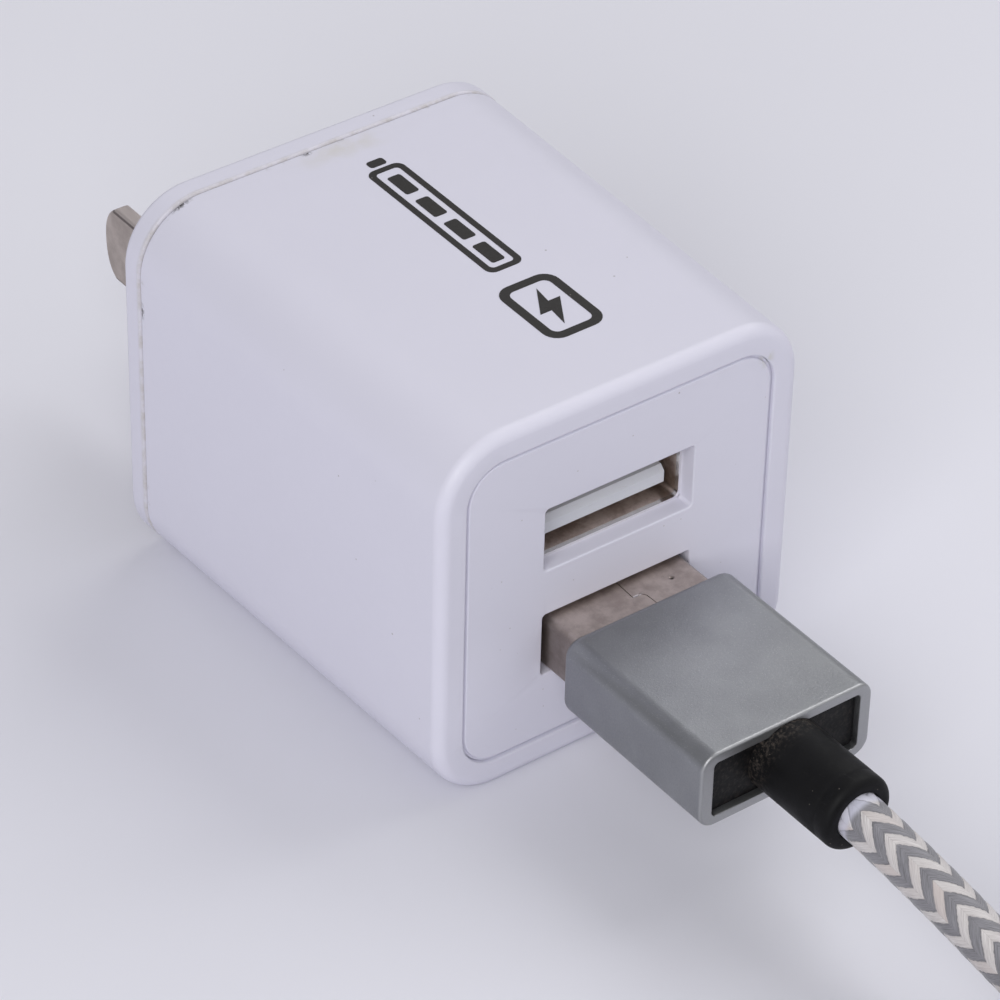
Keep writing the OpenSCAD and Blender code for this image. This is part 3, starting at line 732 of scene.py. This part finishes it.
def make_panel(paint):
    bm = bmesh.new()
    gap, flange_out, flange_in, flange_back = 0.03, 0.375, -1.4, PANEL_BACK + 1.2
    rings = [opening(PANEL_Y + back, -GROOVE - inset) for inset, back in arc(4, 0.1)]
    rings += [opening(PANEL_Y + GROOVE_D, GROOVE * share - GROOVE) for share in (0.2, 0.85)]
    rings += [opening(PANEL_BACK, -gap), opening(PANEL_BACK, flange_out), opening(flange_back, flange_out),
              opening(flange_back, flange_in), opening(PANEL_BACK, flange_in)]
    skin = loft(bm, rings)
    windows = []
    for z in (LOWER_Z, UPPER_Z):
        walls = [ring(0, PANEL_Y + back, z, WINDOW_W + 2 * inset, WINDOW_H + 2 * inset, WINDOW_R + inset, 6)
                 for inset, back in arc(4, 0.13)]
        windows.append(loft(bm, walls + [ring(0, PANEL_BACK, z, WINDOW_W, WINDOW_H, WINDOW_R, 6)]))
    cap(bm, skin[0], *(window[0] for window in windows))
    cap(bm, skin[-1], *(window[-1] for window in windows))
    build("front_plate", bm, paint, "charger", "shell_plastic", "front_panel")


def make_cover(paint):
    bm = bmesh.new()
    w, h = BODY_W + DRAFT_W, BODY_H + DRAFT_H
    lip_out, lip_in, lip_front = WALL + 0.05, WALL + 1.25, SEAM_Y - 2.4
    slot_w, slot_h, slot_r = BLADE_T + 0.06, BLADE_H + 0.06, 0.2

    def section(y, inset):
        return ring(0, y, h / 2, w - 2 * inset, h - 2 * inset, CORNER_R - inset)

    rings = [section(REAR_Y - back, inset) for inset, back in arc(6, 0.45)]
    rings += [section(SEAM_Y + back, inset) for inset, back in reversed(arc(4, 0.26))]
    rings += [outline(SEAM_Y, lip_out), outline(lip_front, lip_out), outline(lip_front, lip_in),
              outline(SEAM_Y, lip_in)]
    skin = loft(bm, rings)
    slots = []
    for x in (-BLADE_X, BLADE_X):
        walls = [ring(x, REAR_Y - back, BLADE_Z, slot_w + 2 * inset, slot_h + 2 * inset, slot_r + inset, 5)
                 for inset, back in arc(3, 0.12)]
        slots.append(loft(bm, walls + [ring(x, SEAM_Y, BLADE_Z, slot_w, slot_h, slot_r, 5)]))
    cap(bm, skin[0], *(hole[0] for hole in slots))
    cap(bm, skin[-1], *(hole[-1] for hole in slots))
    build("rear_cap", bm, paint, "charger", "shell_plastic", "rear_cover")


def make_blade(name, node, x, paint):
    """A flat blade with rounded long edges, an arc at its tip and a taper on both broad faces."""
    root, tip_arc, edge, half = 15.3, 3.7, 0.3, BLADE_T / 2
    taper_l, taper_share = 1.5, 0.42
    steps = (20.0, 26.0, 31.0)
    bm = bmesh.new()

    def profile(across, inset):
        reach = BLADE_H / 2 - inset
        radius = tip_arc - inset
        spread = math.asin(reach / radius)
        points = [(root, BLADE_Z - reach)]
        points += [(y, BLADE_Z - reach) for y in steps]
        points += [(BLADE_TIP - tip_arc + radius * math.cos(a), BLADE_Z + radius * math.sin(a))
                   for a in (spread * (2 * i / 24 - 1) for i in range(25))]
        points += [(y, BLADE_Z + reach) for y in reversed(steps)]
        points += [(root, BLADE_Z + reach)]
        found = []
        for y, z in points:
            taper = min(1.0, max(0.0, (y - BLADE_TIP) / taper_l + 1))
            found.append(Vector((x + across * (1 - taper_share * taper * taper), y, z)))
        return found

    side = [(-half + back, inset) for inset, back in arc(5, edge)]
    rings = [profile(across, inset) for across, inset in side]
    block(bm, rings + [profile(-across, inset) for across, inset in reversed(side)])
    build(name, bm, paint, "charger", "blade_metal", node)


def make_print(paint):
    """A plain pictogram in thin ink on the top: a flash in a frame, and a battery with four charge bars."""
    ink_levels = (0.004, 0.03)

    def top(y):
        return BODY_H + DRAFT_H * (y - FRONT_Y) / (REAR_Y - FRONT_Y)

    def patch(bm, outer, *holes):
        levels = []
        for lift in ink_levels:
            levels.append([[bm.verts.new((x, y, top(y) + lift)) for x, y in loop]
                           for loop in (outer, *holes)])
        for a, b in zip(*levels):
            for i in range(len(a)):
                j = (i + 1) % len(a)
                bm.faces.new((a[i], a[j], b[j], b[i]))
        for loops in levels:
            verts = [v for loop in loops for v in loop]
            flat = [[Vector((v.co.x, v.co.y, 0)) for v in loop] for loop in loops]
            for triangle in tessellate_polygon(flat):
                bm.faces.new([verts[i] for i in triangle])

    def rounded(x0, x1, y0, y1, r):
        return [(p.x, p.z) for p in ring((x0 + x1) / 2, 0, (y0 + y1) / 2, x1 - x0, y1 - y0, r, 6)]

    bm = bmesh.new()
    patch(bm, rounded(-1.3, 3.5, -11.9, -5.0, 1.2), rounded(-0.6, 2.8, -11.2, -5.7, 0.6))
    flash = ((1.5, -6.3), (-0.1, -8.9), (0.85, -8.9), (0.65, -10.6), (2.3, -7.9), (1.3, -7.9))
    patch(bm, flash)
    patch(bm, rounded(-0.1, 2.9, -3.2, 11.6, 0.7), rounded(0.4, 2.4, -2.7, 11.1, 0.35))
    patch(bm, rounded(0.7, 2.1, 11.9, 12.7, 0.25))
    bars, first_bar, bar_pitch, bar_l = 4, -2.2, 3.35, 2.45
    for i in range(bars):
        y = first_bar + bar_pitch * i
        patch(bm, rounded(0.85, 1.95, y, y + bar_l, 0.2))
    build("charge_pictogram", bm, paint, "charger", "core_black", weighted=False)


# ---------------------------------------------------------------- plug and connector

def make_sleeve(name, node, x, z, w, rear, front, slot_w, paint):
    """An aluminium sleeve with soft outer edges, a thin rear rim, and a round relief for its boot."""
    way = 1 if front > rear else -1
    front_edge, relief, inner_w = 0.7, 1.0, w - 2 * SLEEVE_WALL
    slot_h, slot_r, slot_back = SLEEVE_H - 0.02, 0.6, front - way * SLEEVE_WALL
    bm = bmesh.new()

    def outer(y, inset=0.0):
        return ring(x, y, z, w - 2 * inset, HOUSING_H - 2 * inset, HOUSING_R - inset * 0.8)

    def inner(y, grow=0.0):
        return ring(x, y, z, inner_w + 2 * grow, SLEEVE_H + 2 * grow, 0.4 + grow)

    rings = [inner(rear + way * back, inset) for inset, back in reversed(arc(3, 0.07))]
    rings += [outer(rear + way * back, inset) for inset, back in arc(5, 0.22)]
    rings += [outer(rear + way * step) for step in (4.0, 9.0)]
    rings += [outer(front - way * back, inset) for inset, back in reversed(arc(7, front_edge))]
    rings += [ring(x, y, z, slot_w, slot_h, slot_r) for y in (front, slot_back)] + [inner(slot_back)]
    loft(bm, rings, closed=True)
    piece = build(name, bm, paint, "cable", "housing_aluminium", node)
    carve(piece, round_bar(x, z, BOOT_R + 0.05, rear - way * relief, rear + way * relief))


def make_core(name, node, x, z, w, rear, front, paint):
    """The black body that fills a sleeve, with its end face just inside the rim."""
    way = 1 if front > rear else -1
    core_w, core_h, core_r = w - 2 * SLEEVE_WALL - 0.02, SLEEVE_H - 0.02, 0.4
    bm = bmesh.new()

    def section(y, inset=0.0):
        return ring(x, y, z, core_w - 2 * inset, core_h - 2 * inset, core_r - inset)

    rings = [section(rear + way * back, inset) for inset, back in arc(3, 0.12)] + [section(front)]
    block(bm, rings)
    build(name, bm, paint, "cable", "core_black", node)


def make_boot(name, node, x, z, root, end, paint):
    """A round rubber boot with a round end, a moulded line near it, and a hole for the cord."""
    way = 1 if end > root else -1
    long = abs(end - root)
    line_at, line_d = long - 1.35, 0.035
    hole_r, hole_d = CORD_R + 0.03, 1.6
    steps = [(0.0, 0.0)] + [(step, BOOT_R) for step in (0.0, 0.5, 2.0, 3.5, 5.0, line_at - 0.16)]
    steps += [(line_at - 0.05, BOOT_R - line_d), (line_at + 0.05, BOOT_R - line_d), (line_at + 0.16, BOOT_R)]
    steps += [(long - back, BOOT_R - inset) for inset, back in reversed(arc(8, 0.6))]
    steps += [(long - back, hole_r + inset) for inset, back in arc(4, 0.12)]
    steps += [(long - hole_d, hole_r), (long - hole_d, 0.0)]
    bm = bmesh.new()
    sides = 72
    rings = []
    for advance, r in steps:
        y = root + way * advance
        points = circle(x, y, z, r, sides) if r else [Vector((x, y, z))]
        rings.append([bm.verts.new(p) for p in points])
    for a, b in zip(rings, rings[1:]):
        for i in range(sides):
            j = (i + 1) % sides
            if len(a) == 1:
                bm.faces.new((a[0], b[i], b[j]))
            elif len(b) == 1:
                bm.faces.new((a[i], a[j], b[0]))
            else:
                bm.faces.new((a[i], a[j], b[j], b[i]))
    build(name, bm, paint, "cable", "boot_rubber", node)


def make_plug_shell(paint):
    """The plug's folded steel shell, with its dovetailed seam, a pit beside it and four spring holes."""
    thick, gap, rear = 0.3, 0.035, HOUSING_FRONT - 5
    bottom, top = LOWER_Z - PLUG_H / 2, LOWER_Z + PLUG_H / 2
    hole_x, hole_half, hole_front, hole_rear = 2.9, 1.25, -13.7, -15.7
    bm = bmesh.new()

    def tube(y, inset):
        return ring(0, y, LOWER_Z, PLUG_W - 2 * inset, PLUG_H - 2 * inset, 0.65 - min(inset, 0.45), 8)

    rings = [tube(PLUG_FRONT - back, inset) for inset, back in arc(3, 0.14)]
    rings += [tube(y, 0) for y in (-14, -18, -22, rear)]
    rings += [tube(rear, thick), tube(PLUG_FRONT - 0.05, thick)]
    loft(bm, rings, closed=True)
    piece = build("plug_steel_shell", bm, paint, "cable", "plug_steel", "plug_shell")
    line = [(0.28, PLUG_FRONT + 1), (0.26, -17.7), (0.18, -19.72), (0.55, -19.80), (0.86, -19.62),
            (1.12, -20.05), (1.16, -20.75), (1.16, rear - 1)]
    sides = []
    for way in (1, -1):
        shifted = []
        for i, (px, py) in enumerate(line):
            a, b = line[max(i - 1, 0)], line[min(i + 1, len(line) - 1)]
            t = Vector((b[0] - a[0], b[1] - a[1])).normalized()
            shifted.append((px - way * t.y * gap, py + way * t.x * gap))
        sides.append(shifted)
    seam = prism(sides[0] + sides[1][::-1], top - 0.12, top + 0.5)
    pit = bmesh.new()
    place = Matrix.Translation((*PIT, top + 0.22))
    bmesh.ops.create_icosphere(pit, subdivisions=3, radius=0.3, matrix=place)
    holes = []
    for x in (-hole_x, hole_x):
        left, right = x - hole_half, x + hole_half
        corners = [(left, hole_rear), (right, hole_rear), (right, hole_front), (left, hole_front)]
        holes += [prism(corners, z - 0.5, z + 0.5) for z in (bottom, top)]
    carve(piece, seam, pit, *holes)


def make_tip_shell(paint):
    """The far connector's oval steel shell with a rolled front edge."""
    bm = bmesh.new()
    rear, front = TIP_FRONT - 4, TIP_FRONT + 6.65
    w, h, r = 8.25, 2.4, 1.15

    def tube(y, inset):
        return ring(TIP_X, y, TIP_Z, w - 2 * inset, h - 2 * inset, r - inset, 12)

    rings = [tube(rear, 0.3), tube(rear, 0.0), tube(TIP_FRONT + 2, 0.0)]
    rings += [tube(front - back, inset) for inset, back in reversed(arc(4, 0.14))]
    rings += [tube(front - 0.02, 0.2), tube(front - 0.12, 0.3)]
    loft(bm, rings, closed=True)
    build("far_connector_shell", bm, paint, "cable", "tip_steel", "tip_shell")


def make_strap(paint, path):
    """A hook-and-loop strap drawn tight round the coil's turns, with its free end laid back over the top."""
    angle, wide, thick, tube = math.radians(-30), 5.0, 0.46, CORD_R + 0.03
    tab_w, tab_from, tab_to = 4.7, 68, 112
    coil_reach = 30
    out = Vector((math.cos(angle), math.sin(angle), 0))
    centre = Vector((COIL_X, COIL_Y, 0))
    across = out.cross(Vector((0, 0, 1)))
    spots = []
    for a, b in zip(path, path[1:]):
        da, db = (a - centre).dot(across), (b - centre).dot(across)
        if da * db <= 0 and (a - centre).dot(out) > 0 and (a - centre).length < coil_reach:
            hit = a.lerp(b, da / (da - db)) - centre
            spots.append((hit.dot(out), hit.z))
    # One point of the turns' hull for every degree round the strap
    rim = []
    for i in range(360):
        t = math.radians(i)
        r, z = max(spots, key=lambda s: s[0] * math.cos(t) + s[1] * math.sin(t))
        rim.append((r, z, math.cos(t), math.sin(t)))

    def loop(along, grow):
        points = []
        for r, z, c, s in rim[::6]:
            high = max(z + (tube + grow) * s, 0.02 + (thick - grow) * 0.9)
            points.append(Vector((r + (tube + grow) * c, along, high)))
        return points

    half = wide / 2
    bm = bmesh.new()
    rings = [loop(-half + back, thick - inset) for inset, back in arc(3, 0.16)]
    rings += [loop(half - back, thick - inset) for inset, back in reversed(arc(3, 0.16))]
    rings += [loop(half - back, inset) for inset, back in arc(3, 0.16)]
    rings += [loop(-half + back, inset) for inset, back in reversed(arc(3, 0.16))]
    loft(bm, rings, closed=True)
    # The free end follows the loop's upper part, one thickness further out
    tab = []
    reach = tube + thick * 1.55
    for i, (r, z, c, s) in enumerate(rim[tab_from:tab_to:2]):
        tuck = 0.9 * max(0.0, 1 - i / 4) ** 2
        middle = Vector((r + reach * c, 0, z + reach * s))
        section = ring(0, 0, 0, tab_w - 2 * tuck, thick, 0.2, 4)
        tab.append([middle + Vector((c * p.z, p.x, s * p.z)) for p in section])
    long = [tab[0]]
    for a, b in zip(tab, tab[1:]):
        if (b[0] - long[-1][0]).length > 0.05:
            long.append(b)
    block(bm, long)
    place = Matrix.Translation(centre) @ Matrix.Rotation(angle, 4, "Z")
    bmesh.ops.transform(bm, verts=bm.verts, matrix=place)
    build("cable_strap", bm, paint, "cable", "tie_fabric", "cable_tie")


# ---------------------------------------------------------------- everything together

def soften(node, size):
    """Small round edges on a CAD node that stays."""
    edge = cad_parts[node].modifiers.new("edge", "BEVEL")
    edge.width = size * MM
    edge.segments = 3
    edge.limit_method = "ANGLE"
    edge.angle_limit = math.radians(40)
    edge.use_clamp_overlap = True


def paint_node(node, material):
    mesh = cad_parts[node].data
    mesh.materials.clear()
    mesh.materials.append(material)


def make_cable():
    aluminium = blasted_aluminium("blasted_aluminium")
    make_plug_shell(plug_steel("plug_steel_finish"))
    make_sleeve("plug_sleeve", "plug_housing", 0, LOWER_Z, HOUSING_W, HOUSING_REAR, HOUSING_FRONT, 12.3,
                aluminium)
    make_core("plug_end_body", "plug_core", 0, LOWER_Z, HOUSING_W, HOUSING_REAR + END_SET, -26.5,
              dusty_black("end_face_black", HOUSING_REAR, 0.45, 0.10))
    make_boot("plug_strain_boot", "plug_boot", 0, LOWER_Z, HOUSING_REAR + END_SET, BOOT_END,
              dusty_black("boot_rubber_black", HOUSING_REAR + END_SET))
    cord, path, length = braided_cord()
    make_strap(strap_fabric("strap_nylon"), path)
    make_boot("far_connector_boot", "tip_boot", TIP_X, TIP_Z, TIP_REAR + END_SET, TIP_START,
              dusty_black("far_boot_rubber", TIP_REAR + END_SET))
    make_core("far_connector_core", "tip_core", TIP_X, TIP_Z, TIP_W, TIP_REAR + END_SET, TIP_FRONT - 0.3,
              dusty_black("far_end_black", TIP_REAR, 0.45, 0.10))
    make_sleeve("far_connector_sleeve", "tip_housing", TIP_X, TIP_Z, TIP_W, TIP_REAR, TIP_FRONT, 8.4,
                aluminium)
    make_tip_shell(metal("far_steel_finish", (0.62, 0.62, 0.63), (0.50, 0.50, 0.51), 0.3))


def make_charger():
    white = (0.700, 0.690, 0.790)
    make_shell(white_plastic("casing_plastic", white, shell_wear))
    make_panel(white_plastic("panel_plastic", white, panel_wear))
    make_cover(white_plastic("cap_plastic", white, cover_wear))
    blade = blade_metal("blade_plating")
    make_blade("mains_blade_left", "blade_left", -BLADE_X, blade)
    make_blade("mains_blade_right", "blade_right", BLADE_X, blade)
    make_print(component("pictogram_ink", (0.016, 0.014, 0.013), 0.55, scale=3.0, spread=0.5))


def paint_rest():
    """The finishes of the CAD nodes that stay, and round edges on the ports' shells and tongues."""
    finishes = {
        port_steel("port_steel_finish"): ("usb_shell_upper", "usb_shell_lower"),
        white_plastic("tongue_plastic_finish", (0.66, 0.67, 0.72), tongue_wear):
            ("usb_tongue_upper", "usb_tongue_lower"),
        metal("contact_gold_finish", (0.85, 0.60, 0.25), (0.70, 0.46, 0.18), 0.3):
            ("usb_contacts_upper", "usb_contacts_lower", "plug_contacts"),
        circuit_board("solder_mask"): ("main_board", "usb_board"),
        component("ferrite_grey", (0.045, 0.045, 0.048), 0.6): ("transformer_core",),
        component("bobbin_plastic", (0.02, 0.028, 0.02), 0.45): ("transformer_bobbin",),
        component("winding_tape_yellow", (0.75, 0.50, 0.06), 0.35): ("transformer_winding",),
        component("capacitor_sleeve_blue", (0.03, 0.035, 0.07), 0.35): ("input_capacitors",),
        component("capacitor_can_grey", (0.55, 0.56, 0.58), 0.35, 0.9): ("output_capacitor",),
        component("disc_ceramic_blue", (0.03, 0.10, 0.42), 0.35): ("y_capacitor",),
        component("choke_lacquer", (0.05, 0.20, 0.07), 0.4): ("line_inductor",),
        component("resistor_lacquer", (0.28, 0.05, 0.025), 0.4): ("fuse_resistor",),
        component("chip_epoxy", (0.018, 0.018, 0.02), 0.5):
            ("bridge_rectifier", "controller_chip", "output_rectifier", "port_controller"),
        component("opto_white_epoxy", (0.78, 0.78, 0.75), 0.5, spread=0.06): ("optocoupler",),
        component("lead_black_pvc", (0.014, 0.016, 0.022), 0.45): ("lead_left",),
        component("lead_white_pvc", (0.75, 0.75, 0.77), 0.45, spread=0.06): ("lead_right",),
        component("sheet_amber_film", (0.62, 0.50, 0.22), 0.3): ("insulating_sheet",),
        component("plug_insulator_white", (0.72, 0.72, 0.74), 0.45, spread=0.06): ("plug_insulator",),
        component("far_tongue_black", (0.02, 0.02, 0.022), 0.45): ("tip_tongue",),
    }
    for material, nodes in finishes.items():
        for node in nodes:
            paint_node(node, material)
    for port in ("upper", "lower"):
        soften("usb_shell_" + port, 0.14)
        soften("usb_tongue_" + port, 0.12)


def make_studio():
    floor = bmesh.new()
    bmesh.ops.create_grid(floor, x_segments=24, y_segments=24, size=1500)
    mesh = in_metres("backdrop", floor)
    mesh.materials.append(tabletop("backdrop_paper"))
    put("backdrop", mesh)

    world = bpy.data.worlds.new("studio")
    world.use_nodes = True
    sky = world.node_tree.nodes["Background"]
    sky.inputs["Color"].default_value = rgb(0.955, 0.955, 1.0)
    sky.inputs["Strength"].default_value = 0.307
    bpy.context.scene.world = world
    bpy.context.scene.view_settings.view_transform = "Standard"

    aim = Vector((0, -5, 12)) * MM
    for name, place, size, power in (("key", (420, 60, 520), 520, 1.9),
                                     ("fill", (-480, -420, 420), 480, 3.3),
                                     ("front", (330, -500, 420), 480, 0.5)):
        data = bpy.data.lights.new(name, "AREA")
        data.size, data.energy = size * MM, power
        lamp = put(name, data)
        lamp.location = Vector(place) * MM
        lamp.rotation_euler = (aim - lamp.location).to_track_quat("-Z", "Y").to_euler()


place_camera()
make_cable()
make_charger()
paint_rest()
make_studio()
